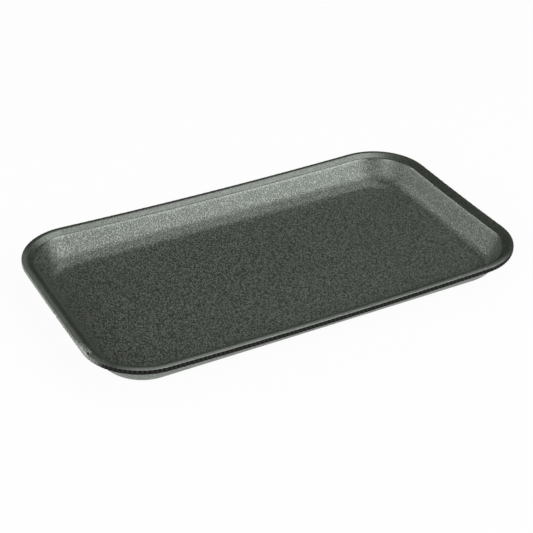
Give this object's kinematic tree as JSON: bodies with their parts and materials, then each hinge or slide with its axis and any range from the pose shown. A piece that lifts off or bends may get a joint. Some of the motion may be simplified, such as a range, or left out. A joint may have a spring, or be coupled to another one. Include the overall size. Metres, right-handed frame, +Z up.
{
  "type": "foam meat tray",
  "caption": "Shallow rectangular foam food tray with rounded corners, sloping walls, an upturned flange and a finely ribbed cut edge, nicked at one end.",
  "frame": {"origin": "middle of the flat underside, on the surface that the tray stands on", "axes": "+X along the tray's length, away from the end with the nick; +Y across it; +Z up, out of the open well"},
  "size_m": [0.21, 0.121, 0.0149],
  "materials": {
    "black_foam": "fine closed-cell foam skin with a soft sheen"
  },
  "bodies": {
    "root": {"foam_tray": "black_foam"}
  },
  "joints": []
}
